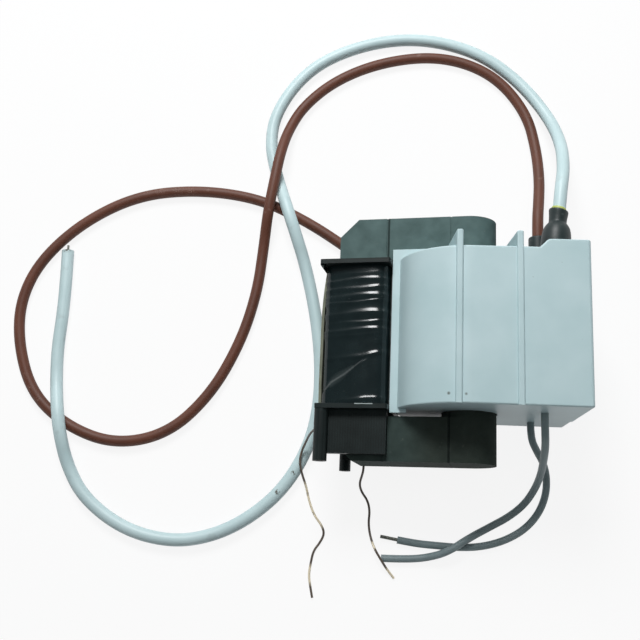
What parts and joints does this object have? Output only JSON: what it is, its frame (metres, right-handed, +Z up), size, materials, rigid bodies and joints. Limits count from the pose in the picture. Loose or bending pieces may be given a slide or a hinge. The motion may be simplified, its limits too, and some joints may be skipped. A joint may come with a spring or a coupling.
{
  "type": "high-voltage flyback transformer",
  "caption": "Potted high-voltage transformer lying on its back: ferrite core, taped primary on a black bobbin, ribbed pale housing with a round barrel, and loose flying leads.",
  "frame": {"origin": "on the housing's flat back face, midway between the core's round leg and the housing's right side", "axes": "+X from the core's round leg towards the housing's box, +Y along the core's legs towards the high-voltage exits, +Z up out of the back face"},
  "size_m": [0.2245, 0.238, 0.0528],
  "materials": {
    "housing_resin": "pale bluish white, satin",
    "potting_resin": "cast resin, level and slightly glossy",
    "ferrite": "dark grey, ground and matt",
    "bobbin_plastic": "black, moulded matt",
    "winding_enamel": "enamelled copper turns",
    "black_tape": "black adhesive tape, wrinkled and glossy",
    "insulation_board": "olive pressed board",
    "black_rubber": "moulded black rubber",
    "ring_plastic": "yellow-green collar",
    "white_silicone": "pale white silicone sheath",
    "brown_silicone": "brown silicone sheath",
    "grey_insulation": "dark grey sheath",
    "tinned_wire": "tinned strands",
    "enamelled_copper": "dark enamel, bare copper where scraped"
  },
  "bodies": {
    "root": {"housing_case": "housing_resin", "potting_fill": "potting_resin", "core_half_upper": "ferrite", "core_half_lower": "ferrite", "primary_bobbin": "bobbin_plastic", "primary_winding": "winding_enamel", "tape_wrap": "black_tape", "insulation_card": "insulation_board", "white_lead_boot": "black_rubber", "brown_lead_sleeve": "black_rubber", "boot_ring": "ring_plastic", "white_lead": "white_silicone", "white_lead_strand": "tinned_wire", "brown_lead": "brown_silicone", "grey_lead_rear": "grey_insulation", "grey_lead_front": "grey_insulation", "grey_conductor": "tinned_wire", "copper_lead_start": "enamelled_copper", "copper_lead_finish": "enamelled_copper"}
  },
  "joints": []
}
